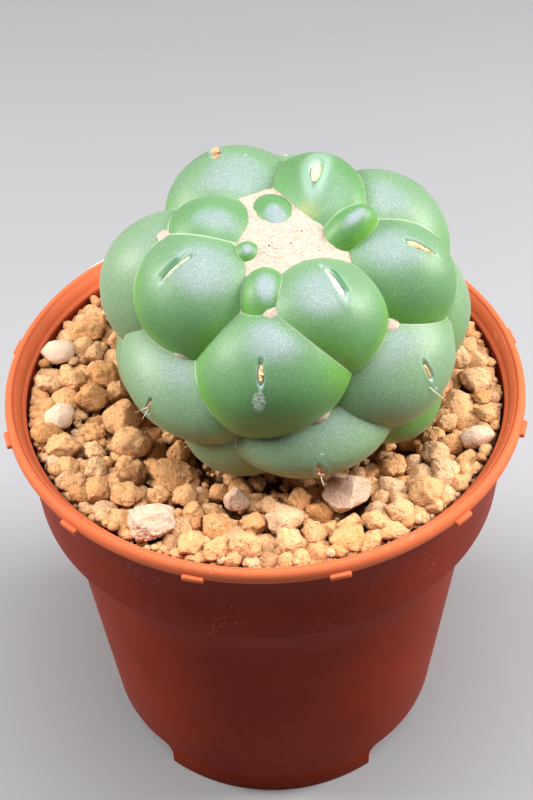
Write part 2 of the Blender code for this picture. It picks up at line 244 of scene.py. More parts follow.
def fuse(first, others, operation):
    # one Boolean of closed objects, which are then removed
    group = bpy.data.collections.new("fuse")
    bpy.context.scene.collection.children.link(group)
    for other in others:
        bpy.context.scene.collection.objects.unlink(other)
        group.objects.link(other)
    boolean = first.modifiers.new("fuse", "BOOLEAN")
    boolean.operation = operation
    boolean.operand_type = "COLLECTION"
    boolean.collection = group
    boolean.solver = "MANIFOLD"
    bpy.context.view_layer.update()
    graph = bpy.context.evaluated_depsgraph_get()
    mesh = bpy.data.meshes.new_from_object(first.evaluated_get(graph))
    first.modifiers.clear()
    for other in others:
        bpy.data.objects.remove(other, do_unlink=True)
    bpy.data.collections.remove(group)
    bpy.data.objects.remove(first, do_unlink=True)
    bm = bmesh.new()
    bm.from_mesh(mesh)
    bpy.data.meshes.remove(mesh)
    return bm


def addLayers(bm, *names):
    # made before the verts that use them, because a new layer makes earlier verts invalid
    for name in names:
        bm.verts.layers.float.new(name)


def setTone(bm, verts, layerName, value):
    layer = bm.verts.layers.float[layerName]
    for vert in verts:
        vert[layer] = value


def turnProfile(bm, profile, steps):
    # profile is (radius, height); spun a full turn round Z
    verts = [bm.verts.new((radius, 0, height)) for radius, height in profile]
    edges = [bm.edges.new(pair) for pair in zip(verts, verts[1:])]
    bmesh.ops.spin(bm, geom=verts + edges, cent=(0, 0, 0), axis=(0, 0, 1), angle=math.tau, steps=steps,
                   use_merge=True, use_duplicate=False)
    bmesh.ops.remove_doubles(bm, verts=bm.verts, dist=0.00001)
    bmesh.ops.recalc_face_normals(bm, faces=bm.faces)


def clamp(value, low, high):
    return min(max(value, low), high)


def smooth(value, low, high):
    # 0 below low and 1 above high, smooth between
    share = clamp((value - low) / (high - low), 0, 1)
    return share * share * (3 - 2 * share)


def bell(value, middle, breadth):
    return math.exp(-((value - middle) / breadth) ** 2)


def divided(place, half):
    return Vector(place[k] / half[k] for k in range(3))


def scatter(rng):
    return Vector((rng.gauss(0, 1), rng.gauss(0, 1), rng.gauss(0, 1)))


# Plant: the same spiral of tubercles as the solid, with grooves, woolly pads and short spines

plant = {
    "centre": Vector((4.4, 0, 108)) * mm,
    # the lean, the first turn and the fall are rounded from the same fit as the tubercles
    "lean": math.radians(11),
    "firstTurn": 185,
    "goldenTurn": 137.5,
    "fall": (13, 7.3, 0.82),
    "body": Vector((25.4, 25.4, 20.4)) * mm,
    "bodyLift": 2.5 * mm,
    # segments and rings: of a grown tubercle, of one younger than smallAge, and of the body
    "grid": (76, 46),
    "smallGrid": (32, 20),
    "smallAge": 4,
    "bodyGrid": (64, 40),
    "rootSteps": 48,
    "wobble": 0.014,
    # age: sway, dip and roll in degrees, half width, half height, half depth and reach in millimetres.
    # Rounded from ellipsoids that were fitted to outlines traced in the photo, with most rolls and some
    # other values changed after; 15, 18, 20, 21, 23, 25, 26 and 28 are hidden there and have plain values
    "tubercles": {
        0: (14, 5, 0, 3, 3, 3.5, 26),
        2: (2, -4, 5, 5, 7, 4.5, 26),
        3: (16, 1, 20, 5.5, 7, 6, 28),
        4: (-1, -4, -55, 6.5, 5, 10.5, 31.5),
        5: (7, 3, 15, 11, 11, 11.5, 31),
        6: (9, -1, -25, 13, 12, 13.5, 32),
        7: (-3, -4, -40, 16, 10, 15.5, 33),
        8: (-11, -1, 15, 15, 13.5, 15.5, 33.5),
        9: (12, 2, -35, 12, 13.5, 16, 36.5),
        10: (-3, 0, -10, 15, 11, 15.5, 36),
        11: (4, 0, 32, 16, 13.5, 15, 34),
        12: (-10, -8, 25, 15, 12, 14.5, 37),
        13: (-3, 2, 15, 14, 15.5, 15, 37),
        14: (16, 7, 5, 16.5, 12.5, 17, 36),
        15: (0, 0, 0, 16, 12.5, 15.5, 35.5),
        16: (-7, 3, 0, 17, 10, 14.5, 35.5),
        17: (0, 3, -15, 14, 15, 14.5, 36.5),
        18: (0, 0, 0, 16, 12, 15.5, 35.5),
        19: (3, 1, 0, 17.5, 8.5, 16, 35.5),
        20: (0, 0, 0, 16, 11.5, 15.5, 35),
        21: (0, 0, 0, 15, 11, 15, 34.5),
        22: (-7, -2, -10, 13, 11, 15.5, 35.5),
        23: (0, 0, 0, 15, 11, 15, 34.5),
        24: (0, -5, 10, 13.5, 11.5, 13.5, 33.5),
        25: (0, -6, 0, 14, 11, 14, 34),
        26: (0, -6, 0, 14, 11, 14, 34),
        28: (0, -8, 0, 14, 11, 14, 33.5),
    },
    # the way that the skin faces where the painted highlight of the overhead light falls, half-way toward
    # the camera
    "highlightWay": Vector((0, -0.38, 1)).normalized(),
    # by age where it isn't the rule: paleness of the skin, strength of its painted highlight, and of its
    # grey tint and painted sheen facing up
    "tones": {0: 0, 2: 0, 3: 0, 4: 0, 7: 0, 10: 0.3, 11: 0.08, 13: 0.9, 19: 0.98, 22: 0.35, 24: 0.95},
    "highlights": {0: 1.6, 2: 1.6, 3: 1.5, 4: 1.5, 5: 1.2, 6: 1.1, 7: 0.35, 8: 1.1, 11: 1.25},
    "greyAndSheen": {0: 0.35, 2: 0.35, 3: 0.35, 4: 0.35, 5: 0.6, 7: 0.45, 11: 0.8},
    "root": ((0, 98), (12, 98), (12, 80.8), (6.6, 66.8), (3, 44), (0, 44)),
    # pale flaking scars: middle, then half sizes, in millimetres; these, the olive patch and the felt's
    # specks lie on rays through points picked in the photo
    "scars": (
        ((-1.2, -32.6, 116.6), (2.8, 2.9, 5.4)),
        ((-2.1, 18.5, 133.8), (1.0, 0.4, 0.6)),
        ((-6.7, 18.5, 134.0), (0.7, 0.4, 0.5)),
        ((10.2, -32.9, 102.4), (1.0, 1.0, 0.8)),
        ((32.3, -22.4, 108.6), (0.8, 0.8, 1.3)),
    ),
    # where the skin of one tubercle fades to olive beside the felt
    "olive": ((9.2, 1.8, 132.7), (4.2, 3.6, 3.4)),
}

areole = {
    # age: across and up the face, twist in degrees, half length and half width in millimetres;
    # where the photo shows a pad, its place is rounded from rays through points picked there
    "pads": {
        6: (-0.09, 0.62, -69, 3.6, 1.0),
        7: (-0.24, 0.55, -27, 2.6, 1.2),
        8: (0.19, 0.43, 99, 3.4, 0.8),
        9: (-0.33, 0.41, -70, 2.8, 0.9),
        10: (-0.07, 0.43, 85, 1.6, 0.9),
        11: (0.11, 0.36, -97, 1.9, 0.8),
        12: (0.2, -0.35, 90, 1.8, 0.8),
        13: (0, -0.35, 90, 1.8, 0.8),
        14: (-0.13, 0.42, -99, 1.6, 0.8),
        15: (0, 0.42, 90, 1.8, 0.8),
        16: (0.11, 0.15, 90, 1.5, 0.8),
        17: (0, -0.35, 90, 1.6, 0.8),
        18: (0, 0.42, 90, 1.6, 0.8),
        19: (-0.06, 0.03, -83, 1.5, 0.8),
        20: (0, 0.3, 90, 1.5, 0.8),
    },
    # room between a pad and its slit, lengthwise and crosswise
    "slitRoom": (0.35 * mm, 0.3 * mm),
    # how far from a pad the skin is shaped
    "span": 12 * mm,
    # degrees that the slit turns on the skin
    "turn": {6: -6, 7: -23, 8: -10, 9: 10, 11: -19},
    # how much narrower the pad gets toward the crown, or away from it if negative
    "taper": {6: 0.6, 7: 0.15, 8: 0.5, 9: -0.6},
    "narrow": {6: 0.72, 7: 0.85, 8: 0.42, 9: 0.75, 11: 0.55, 14: 0.45, 16: 0.35},
    "tones": {6: 0.97, 7: 0.55, 8: 0.8, 9: 0.45, 10: 0.05, 11: 0.45, 14: 0.35, 16: 0.25, 19: 0.05},
    # number of dried nectar crumbs, their spread along the pad and how high they stand
    "crumbs": {9: (2, 0.4, 0.0), 10: (9, 0.6, 0.4), 11: (3, 0.5, 0.0), 19: (3, 0.3, 0.1)},
    "crumbTones": {11: 0.34},
    "sinks": {14: 1.0 * mm, 16: 1.1 * mm, 19: 0.35 * mm, 10: 0.5 * mm},
    "sink": 1.2 * mm,
    "lips": {7: 0.22 * mm, 6: 0.14 * mm},
    "lip": 0.07 * mm,
    "refine": (5.5 * mm, 3.2 * mm),
    "groove": {7: 4.5 * mm, 6: 2.0 * mm, 8: 2.0 * mm},
    "grooveElse": 1.6 * mm,
    "grooveDepth": 0.5 * mm,
    "grooveWidth": 0.45 * mm,
    # painted shadow in dark green beside a slit: distance from it, breadth, start and end along the pad
    "slitShadows": {8: (1.15 * mm, 0.62 * mm, -0.85, 0.6), 6: (-1.1 * mm, 0.4 * mm, -0.7, 0.9)},
    # pale rings and arcs: how far out, breadth, strength and on which side
    "craters": {7: (1.7, 0.75, 0.65, 0), 8: (3.6, 0.6, 0.4, 1), 6: (2.2, 0.35, 0.28, -1)},
}


def spiralWay(age, sway, dip):
    # the way out from the plant's middle and the way round it, before the lean
    fallStart, fallRate, fallPower = plant["fall"]
    turn = math.radians(plant["firstTurn"] + plant["goldenTurn"] * age + sway)
    fall = math.radians(fallStart + fallRate * age**fallPower + dip)
    out = Vector((math.cos(turn) * math.sin(fall), math.sin(turn) * math.sin(fall), math.cos(fall)))
    return out, Vector((-math.sin(turn), math.cos(turn), 0))


def tubercleFrame(age):
    sway, dip, roll, halfWidth, halfHeight, halfDepth, reach = plant["tubercles"][age]
    out, across = spiralWay(age, sway, dip)
    across.rotate(Matrix.Rotation(math.radians(roll), 3, out))
    above = out.cross(across)
    lean = Matrix.Rotation(plant["lean"], 3, "X")
    axes = Matrix((lean @ across, lean @ above, lean @ out)).transposed()
    middle = plant["centre"] + lean @ out * (reach - halfDepth) * mm
    return middle, axes, Vector((halfWidth, halfHeight, halfDepth)) * mm


def areoleFrame(age):
    # in the tubercle's own axes: the point on its skin, then along the pad, across it and out of it,
    # and the pad's half length and half width
    half = tubercleFrame(age)[2]
    across, above, twist, halfLength, halfWidth = areole["pads"][age]
    unit = Vector((across, above, math.sqrt(1 - across**2 - above**2)))
    point = unit * half
    out = divided(unit, half).normalized()
    along = Vector((math.cos(math.radians(twist)), math.sin(math.radians(twist)), 0))
    along = (along - out * along.dot(out)).normalized()
    if along.y < 0:
        along = -along
    along.rotate(Matrix.Rotation(math.radians(areole["turn"].get(age, 0)), 3, out))
    return point, along, out.cross(along), out, halfLength * mm, halfWidth * mm


def padTaper(age, lengthwise):
    # lengthwise is -1 at the outer end of the pad and 1 at the end toward the crown
    taper = areole["taper"].get(age, 0)
    share = 0.5 + 0.5 * clamp(lengthwise, -1, 1)
    if taper < 0:
        share = 1 - share
    return areole["narrow"].get(age, 1) * (1 - abs(taper) * share)


def refineSkin(bm, half, centre, padLength):
    # finer faces in steps toward the areole, put back on the unit sphere
    for reach in areole["refine"]:
        picked = {vert for vert in bm.verts
                  if (vert.co * half - centre).length < reach + padLength * 0.4}
        edges = [edge for edge in bm.edges if edge.verts[0] in picked and edge.verts[1] in picked]
        bmesh.ops.subdivide_edges(bm, edges=edges, cuts=1, use_grid_fill=True)
        for vert in bm.verts:
            vert.co.normalize()


def areoleMarks(age, away, along, side, padLength, padWidth, groove):
    # how deep the skin lies at a place near the pad, how pale it is there and how dark its painted shadow
    # is
    lengthwise, crosswise = away.dot(along), away.dot(side)
    share = lengthwise / padLength
    width = padWidth * padTaper(age, share)
    lengthRoom, widthRoom = areole["slitRoom"]
    ring = math.hypot(lengthwise / (padLength + lengthRoom), crosswise / (width + widthRoom))
    drop = areole["sinks"].get(age, areole["sink"]) * (1 - smooth(ring, 0.5, 1.12))
    drop -= areole["lips"].get(age, areole["lip"]) * bell(ring, 1.45, 0.32)
    tail = smooth(lengthwise, padLength * 0.7, padLength)
    tail *= 1 - smooth(lengthwise, padLength, padLength + groove)
    drop += areole["grooveDepth"] * tail * bell(crosswise, 0, areole["grooveWidth"])
    pale = max(1 - smooth(ring, 0.9, 1.35), tail * bell(crosswise, 0, 0.3 * mm))
    if age in areole["craters"]:
        reach, breadth, strength, oneSided = areole["craters"][age]
        arc = strength * bell(ring, reach, breadth)
        if oneSided:
            arc *= smooth(crosswise * oneSided, 0, 0.6 * mm) * (1 - smooth(abs(share), 0.85, 1.45))
        pale = max(pale, arc)
    dark = 0
    if age in areole["slitShadows"]:
        beside, breadth, start, end = areole["slitShadows"][age]
        dark = min(1, 1.5 * bell(crosswise, beside, breadth))
        dark *= smooth(share, start - 0.25, start) * (1 - smooth(share, end - 0.3, end))
    return drop, pale, dark


def makeTubercle(age):
    middle, axes, half = tubercleFrame(age)
    segments, rings = plant["smallGrid"] if age < plant["smallAge"] else plant["grid"]
    bm = bmesh.new()
    bmesh.ops.create_uvsphere(bm, u_segments=segments, v_segments=rings, radius=1)
    marked = age in areole["pads"]
    if marked:
        point, along, side, out, padLength, padWidth = areoleFrame(age)
        groove = areole["groove"].get(age, areole["grooveElse"])
        centre = point + along * groove / 2
        refineSkin(bm, half, centre, padLength)
    slit = bm.verts.layers.float.new("slit")
    # shade holds the painted shadow beside the slit
    shade = bm.verts.layers.float.new("shade")
    shift = Vector((age * 2.3, age * 5.1, 1.7))
    for vert in bm.verts:
        unit = vert.co.copy()
        swell = 1 + plant["wobble"] * noise.noise(unit * 1.5 + shift)
        place = Vector(unit[k] * half[k] * swell for k in range(3))
        if marked and (place - centre).length < areole["span"]:
            drop, vert[slit], vert[shade] = areoleMarks(age, place - point, along, side, padLength,
                                                        padWidth, groove)
            place -= out * drop
        vert.co = middle + axes @ place
    return newObject(bm, f"tubercle{age}")


def insideness(points):
    # for every tubercle, how far each point is outside it in metres; roughly, and negative inside
    rows = []
    for age in plant["tubercles"]:
        middle, axes, half = tubercleFrame(age)
        local = (points - np.array(middle)) @ np.array(axes)
        unit = local / np.array(half)
        length = np.linalg.norm(unit, axis=1)
        rows.append((length - 1) * np.linalg.norm(local, axis=1) / np.maximum(length, 1e-6))
    return np.array(rows)


def bodyPlace(half):
    # makes a unit sphere the leaning body, with these half sizes
    lean = Matrix.Rotation(plant["lean"], 4, "X")
    lift = Matrix.Translation((0, 0, plant["bodyLift"]))
    return Matrix.Translation(plant["centre"]) @ lean @ lift @ Matrix.Diagonal((*half, 1))


def makeBody():
    bm = bmesh.new()
    segments, rings = plant["bodyGrid"]
    bmesh.ops.create_uvsphere(bm, u_segments=segments, v_segments=rings, radius=1,
                              matrix=bodyPlace(plant["body"]))
    return newObject(bm, "body")


def makeRoot():
    bm = bmesh.new()
    profile = [(radius * mm, height * mm) for radius, height in plant["root"]]
    turnProfile(bm, profile, plant["rootSteps"])
    bmesh.ops.translate(bm, verts=bm.verts, vec=(plant["centre"].x, 0, 0))
    return newObject(bm, "root")


def nearness(place, middle, half):
    # 1 in the middle of a small ellipsoid and 0 at its edge; its middle and half sizes in millimetres
    away = place.vector("SUBTRACT", Vector(middle) * mm)
    away = away.vector("MULTIPLY", [1 / (reach * mm) for reach in half])
    return away.vector("LENGTH", out="Value").step(1, 0)


def paintSkin(place):
    names = ("tone", "crease", "low", "under", "slit", "bloom", "up")
    tone, crease, low, under, slit, bloom, up = (place.named(name) for name in names)
    cloud = place.noise(8 * mm, 3)
    fine = place.noise(0.26 * mm, 2, 0.6)
    dots = place.cells(0.26 * mm)
    mixed = tone + (cloud - 0.5) * 0.35
    colour = mixed.step(0.0, 1.0).blend(rgb(0.095, 0.275, 0.055), rgb(0.28, 0.40, 0.22))
    # paler grey where the skin faces up: partly a grey waxy tint, partly painted sheen from the overhead
    # light
    colour = (up * 0.55).blend(colour, rgb(0.27, 0.355, 0.265))
    # vivid green low on the young ones, yellow-brown where an old one turns under
    colour = (low * crease.step(5.5, 0.2) * (1 - tone) * 0.95).blend(colour, rgb(0.17, 0.46, 0.01))
    colour = (under * (0.4 + tone * 0.5)).blend(colour, rgb(0.50, 0.35, 0.18))
    colour = (nearness(place, *plant["olive"]) * 0.8).blend(colour, rgb(0.42, 0.45, 0.12))
    # painted highlight: bluish-white where the skin faces half-way between the overhead light and the
    # camera
    colour = (bloom * (0.5 + cloud * 0.45)).blend(colour, rgb(0.37, 0.40, 0.48))
    # fine dark and pale grain all over
    grain = dots.step(0.05, 0.6) * 0.55 + fine * 0.45
    colour = (grain.step(0.40, 0.60) * 0.5).blend(colour, rgb(0.05, 0.155, 0.06))
    colour = (grain.step(0.38, 0.16) * 0.38).blend(colour, rgb(0.46, 0.58, 0.45))
    # painted highlight: a thin pale line along the creases, where the tubercles' rims catch the light
    colour = (crease.step(0.17, 0.02) * 0.5).blend(colour, rgb(0.60, 0.62, 0.44))
    colour = (slit * 0.6).blend(colour, rgb(0.42, 0.53, 0.51))
    # painted shadow: dark green beside the lip of some slits
    colour = (place.named("shade") * 0.85).blend(colour, rgb(0.03, 0.15, 0.04))
    scar = nearness(place, *plant["scars"][0])
    for mark in plant["scars"][1:]:
        scar = scar + nearness(place, *mark)
    flakes = (scar.step(0.0, 0.8) * 0.5 + place.noise(0.4 * mm, 4, 0.75) - 0.5).step(0.37, 0.62)
    colour = (flakes * 0.8).blend(colour, rgb(0.62, 0.66, 0.62))
    rough = 0.42 + fine * 0.14 + flakes * 0.3
    height = dots.step(0.0, 0.45) * 0.4 + fine * 0.6 + flakes * 0.6
    return {"Base Color": colour, "Roughness": rough, "Normal": height.bump(0.04 * mm, 0.6)}


def makePlant():
    tubercles = [makeTubercle(age) for age in plant["tubercles"]]
    bm = fuse(makeBody(), tubercles + [makeRoot()], "UNION")
    bmesh.ops.dissolve_degenerate(bm, edges=bm.edges, dist=0.01 * mm)
    bm.normal_update()
    # the nearest tubercle gives a place its tone, and the second nearest says how deep in a crease it is
    outside = insideness(np.array([vert.co for vert in bm.verts]))
    ages = list(plant["tubercles"])
    order = np.argsort(np.abs(outside), axis=0)
    second = np.take_along_axis(outside, order[1:2], axis=0)[0]
    rng = random.Random(5)
    tones = {age: 0.06 + 0.72 * smooth(age, 9, 14) + rng.uniform(-0.06, 0.08) for age in ages}
    tones.update(plant["tones"])
    names = ("tone", "crease", "under", "low", "bloom", "up")
    tone, crease, under, low, bloom, up = [bm.verts.layers.float.new(name) for name in names]
    for index, vert in enumerate(bm.verts):
        age = ages[order[0][index]]
        vert[tone] = tones[age]
        vert[crease] = clamp(second[index] / mm, 0, 8)
        vert[under] = smooth(-vert.normal.z, 0.25, 0.8)
        vert[low] = smooth(0.85 - vert.normal.z, 0, 0.8)
        # grey tint and painted sheen where the skin faces up
        vert[up] = smooth(vert.normal.z, -0.1, 0.8) * plant["greyAndSheen"].get(age, 1)
        # painted highlight where the skin faces half-way between the overhead light and the camera
        vert[bloom] = smooth(vert.normal.dot(plant["highlightWay"]), 0.86, 1) * plant["highlights"].get(age, 1)
        vert[bloom] *= smooth(vert[crease], 0.3, 1.3 if age < 5 else 2.4)
    skin = newMaterial("cactusSkin", {
        "Subsurface Weight": 0.12,
        "Subsurface Radius": (0.4, 1.0, 0.25),
        "Subsurface Scale": 0.0025,
        "Specular IOR Level": 0.4,
        "Sheen Weight": 0.1,
        "Sheen Roughness": 0.35,
        "Coat Weight": 0.05,
        "Coat Roughness": 0.4,
        "IOR": 1.5,
    }, paintSkin)
    piece = newPiece(bm, "plantSkin", skin, "cactus_skin", "plant")
    piece.data.set_sharp_from_angle(angle=math.radians(38))
    print("plant skin:", len(piece.data.polygons), "faces")


# Wool: the felt of the crown, the tufts in the axils and the pads of the areoles

wool = {
    "thickness": 1.6 * mm,
    # segments and rings, and how far above the plant's centre the felt starts
    "crownGrid": (144, 96),
    "crownFrom": 13 * mm,
    "axilAges": (11, 12, 13, 14, 15, 16, 17, 18, 19, 20),
    "axilAbove": (27, 1.4),
    "axilHalf": Vector((3.4, 3.4, 4)) * mm,
    "crownFibres": 2600,
    "tuftFibres": 170,
    "padFibres": 46,
    "padHeight": 0.75 * mm,
    "padSunk": 0.85 * mm,
    "fibre": (0.6 * mm, 0.024 * mm),
    # dark specks caught in the crown's felt, and their half sizes, in millimetres
    "specks": ((7.9, -3.3, 132.1), (1.7, -6.5, 131.5), (5.8, -6.3, 131.8), (4.4, -12.6, 129.9)),
    "speckHalf": (0.34, 0.34, 0.6),
    "axilSunk": {13: 0.5 * mm},
}


def surfaceReach(out):
    # how far out the skin lies that way from the plant's centre
    reach = 0
    for age in plant["tubercles"]:
        middle, axes, half = tubercleFrame(age)
        start = divided(axes.transposed() @ (plant["centre"] - middle), half)
        way = divided(axes.transposed() @ out, half)
        square, cross = way.length_squared, way.dot(start)
        inside = cross**2 - square * (start.length_squared - 1)
        if inside > 0:
            reach = max(reach, (-cross + math.sqrt(inside)) / square)
    return reach


def axilPlace(age):
    sway, dip = plant["tubercles"][age][:2]
    above, loss = wool["axilAbove"]
    out = spiralWay(age, sway, dip - above + loss * (age - wool["axilAges"][0]))[0]
    out.rotate(Matrix.Rotation(plant["lean"], 3, "X"))
    return out, surfaceReach(out)


def addFibre(bm, rng, root, out, length, radius):
    # a curved three-sided hair that lies over to one side
    away = scatter(rng)
    away = (away - out * away.dot(out)).normalized()
    one = bmesh.new()
    bmesh.ops.create_cone(one, cap_ends=True, segments=3, radius1=radius, radius2=radius * 0.35, depth=1)
    flanks = [edge for edge in one.edges if abs(edge.verts[0].co.z - edge.verts[1].co.z) > 0.5]
    bmesh.ops.subdivide_edges(one, edges=flanks, cuts=1)
    side = out.cross(away)
    for vert in one.verts:
        share = vert.co.z + 0.5
        bend = share * length
        spot = root + out * (bend * (0.5 - 0.42 * share) + 0.01 * mm) + away * bend * 0.9
        vert.co = spot + side * vert.co.x + out * vert.co.y
    absorb(bm, one)


def paintFelt(place):
    deep, pale = rgb(0.525, 0.415, 0.33), rgb(0.55, 0.44, 0.355)
    matted = place.noise(0.9 * mm, 4, 0.65)
    strands = place.noise(0.16 * mm, 2, 0.6)
    colour = matted.step(0.3, 0.65).blend(deep, pale)
    colour = (strands.step(0.35, 0.6) * 0.35).blend(colour, pale)
    for middle in wool["specks"]:
        speck = nearness(place, middle, wool["speckHalf"]).step(0.1, 0.5)
        colour = speck.blend(colour, rgb(0.12, 0.06, 0.03))
    height = matted * 0.6 + strands * 0.4
    return {"Base Color": colour, "Roughness": 0.82 + strands * 0.15, "Normal": height.bump(0.1 * mm, 0.5)}


def paintPad(place):
    tone = place.named("tone")
    matted = place.noise(0.5 * mm, 4, 0.65)
    colour = tone.ramp((0.0, (0.52, 0.19, 0.045)), (0.3, (0.72, 0.46, 0.18)), (0.55, (0.84, 0.70, 0.38)),
                       (0.8, (0.80, 0.82, 0.62)), (1.0, (0.92, 0.80, 0.72)))
    colour = (matted.step(0.5, 0.7) * 0.45).blend(colour, rgb(0.95, 0.90, 0.76))
    colour = (place.cells(0.9 * mm).step(0.22, 0.1) * 0.6).blend(colour, rgb(0.62, 0.26, 0.06))
    return {"Base Color": colour, "Roughness": 0.8 + matted * 0.15, "Normal": matted.bump(0.15 * mm, 0.7)}


def roughen(verts, size, depth, seed):
    shift = Vector((seed * 3.7, seed * 1.3, seed * 2.1))
    for vert in verts:
        vert.co += vert.normal * depth * noise.fractal(vert.co / size + shift, 0.6, 2, 3)


def makeCrown(felt, rng):
    bm = bmesh.new()
    segments, rings = wool["crownGrid"]
    half = plant["body"] + Vector((1, 1, 1)) * wool["thickness"]
    bmesh.ops.create_uvsphere(bm, u_segments=segments, v_segments=rings, radius=1, matrix=bodyPlace(half))
    top = Matrix.Rotation(plant["lean"], 3, "X") @ Vector((0, 0, 1))
    cut = plant["centre"] + top * wool["crownFrom"]
    bmesh.ops.bisect_plane(bm, geom=bm.verts[:] + bm.edges[:] + bm.faces[:], plane_co=cut, plane_no=top,
                           clear_inner=True, clear_outer=False)
    rim = [edge for edge in bm.edges if len(edge.link_faces) == 1]
    bmesh.ops.holes_fill(bm, edges=rim, sides=0)
    bm.normal_update()
    roughen(bm.verts, 2.5 * mm, 0.15 * mm, 1)
    bm.normal_update()
    # fibres stand only where no tubercle covers the felt; the faces are sorted by place, because
    # create_uvsphere gives them in another order in each run
    faces = [(face.calc_center_median(), face.normal.copy(), face.calc_area()) for face in bm.faces
             if face.normal.dot(top) > 0.3]
    faces.sort(key=lambda face: tuple(face[0]))
    clear = insideness(np.array([spot for spot, _, _ in faces])).min(axis=0) > -0.2 * mm
    bare = [face for face, free in zip(faces, clear) if free]
    areas = [area for _, _, area in bare]
    for spot, normal, _ in rng.choices(bare, areas, k=wool["crownFibres"]):
        jitter = Vector((rng.uniform(-0.4, 0.4), rng.uniform(-0.4, 0.4), 0)) * mm
        addFibre(bm, rng, spot + jitter, normal, wool["fibre"][0] * rng.uniform(0.6, 1.3), wool["fibre"][1])
    newPiece(bm, "crownFelt", felt, "wool", "crown_wool")


def makeAxils(felt, rng):
    bm = bmesh.new()
    half = wool["axilHalf"]
    for age in wool["axilAges"]:
        out, reach = axilPlace(age)
        middle = plant["centre"] + out * (reach - wool["axilSunk"].get(age, 0) - half.z)
        turn = out.to_track_quat("Z", "Y").to_matrix()
        place = Matrix.Translation(middle) @ turn.to_4x4() @ Matrix.Diagonal((*half, 1))
        one = bmesh.new()
        bmesh.ops.create_uvsphere(one, u_segments=36, v_segments=24, radius=1, matrix=place)
        one.normal_update()
        roughen(one.verts, 1.6 * mm, 0.12 * mm, age)
        absorb(bm, one)
        for _ in range(wool["tuftFibres"]):
            tilt = Vector((rng.gauss(0, 0.5), rng.gauss(0, 0.5), 0))
            way = (out + turn @ tilt).normalized()
            spot = middle + turn @ ((turn.transposed() @ way) * half)
            addFibre(bm, rng, spot, way, wool["fibre"][0] * rng.uniform(0.6, 1.2), wool["fibre"][1])
    nodes = [f"axil_wool_{index:02d}" for index in range(1, len(wool["axilAges"]) + 1)]
    newPiece(bm, "axilFelt", felt, "wool", *nodes)


def makePads(tuft, rng):
    bm = bmesh.new()
    high = wool["padHeight"]
    for age in areole["pads"]:
        middle, axes, _ = tubercleFrame(age)
        point, along, side, out, padLength, padWidth = areoleFrame(age)
        turn = axes @ Matrix((along, side, out)).transposed()
        spot = middle + axes @ (point - out * wool["padSunk"])
        one = bmesh.new()
        addLayers(one, "tone")
        bmesh.ops.create_uvsphere(one, u_segments=32, v_segments=20, radius=1)
        for vert in one.verts:
            unit = vert.co
            width = (padWidth + 0.1 * mm) * padTaper(age, unit.x)
            vert.co = Vector((unit.x * padLength * 0.98, unit.y * width, unit.z * high))
        bmesh.ops.transform(one, matrix=Matrix.Translation(spot) @ turn.to_4x4(), verts=one.verts)
        one.normal_update()
        roughen(one.verts, 0.6 * mm, 0.12 * mm, age)
        setTone(one, one.verts, "tone", areole["tones"].get(age, 0.3))
        absorb(bm, one)
        for _ in range(wool["padFibres"]):
            lengthwise, crosswise = rng.uniform(-0.85, 0.85), rng.uniform(-0.6, 0.6)
            rise = math.sqrt(max(0.1, 1 - lengthwise**2 - crosswise**2))
            width = padWidth * padTaper(age, lengthwise)
            root = spot + turn @ Vector((lengthwise * padLength, crosswise * width, rise * high))
            addFibre(bm, rng, root, turn @ Vector((0, 0, 1)), 0.4 * mm * rng.uniform(0.6, 1.2),
                     wool["fibre"][1] * 0.8)
        count, spread, stand = areole["crumbs"].get(age, (0, 0, 0))
        for index in range(count):
            share = (index + 0.5) / count
            local = Vector((rng.uniform(-1, 1) * spread * padLength, rng.uniform(-0.6, 0.6) * padWidth,
                            high + stand * share * 2 * mm))
            size = rng.uniform(0.28, 0.5) * mm
            tones = {"tone": areole["crumbTones"].get(age, 0.02) + 0.12 * share}
            addStone(bm, spot + turn @ local, rng.uniform(0, math.tau), Vector((size, size, size * 0.8)),
                     60 + index, 0.35, 2, 0, tones)
    nodes = [f"areole_wool_{index:02d}" for index in range(1, len(areole["pads"]) + 1)]
    newPiece(bm, "areoleTufts", tuft, "areole_wool", *nodes)


def makeFelt():
    rng = random.Random(11)
    felt = newMaterial("felt", {
        "Sheen Weight": 0.04,
        "Sheen Roughness": 0.5,
        "Subsurface Weight": 0.08,
        "Subsurface Scale": 0.002,
    }, paintFelt)
    makeCrown(felt, rng)
    makeAxils(felt, rng)
    makePads(newMaterial("areoleTuft", {"Sheen Weight": 0.4, "Sheen Roughness": 0.5}, paintPad), rng)
    print("wool made")


# Spines: a few short pale bristles on the older areoles

spine = {
    "radius": 0.11 * mm,
    "bend": 0.09,
    # age, then lean along and across the areole, and length in millimetres
    "bristles": ((16, 0.0, 0.17, 3.6), (16, -0.77, 0.0, 2.9), (19, -0.25, 0.0, 3.2), (12, -0.8, -0.3, 3.0),
                 (17, -1.0, 0.5, 3.4), (17, -0.8, -0.6, 3.0), (18, -0.8, 0.4, 3.0), (20, -0.9, -0.4, 2.8)),
    # root and run in millimetres, and how much thicker
    "strays": (
        ((30.3, -22.4, 111.6), (0.4, -0.9, -1.5), 1.6),
        ((30.6, -23.3, 110.0), (3.2, -0.9, -3.2), 1.0),
        ((-28.9, 5.0, 120.6), (-4.6, -1.2, -1.6), 2.0),
        ((31.2, -18.6, 95.8), (-1.0, -1.7, -2.6), 0.9),
        ((31.0, -18.2, 96.0), (3.8, 0.8, 2.8), 1.2),
    ),
}


def paintHorn(place):
    return {"Base Color": place.noise(0.8 * mm, 2).blend(rgb(0.80, 0.72, 0.55), rgb(0.93, 0.90, 0.82)),
            "Roughness": 0.35 + place.noise(0.3 * mm) * 0.1}


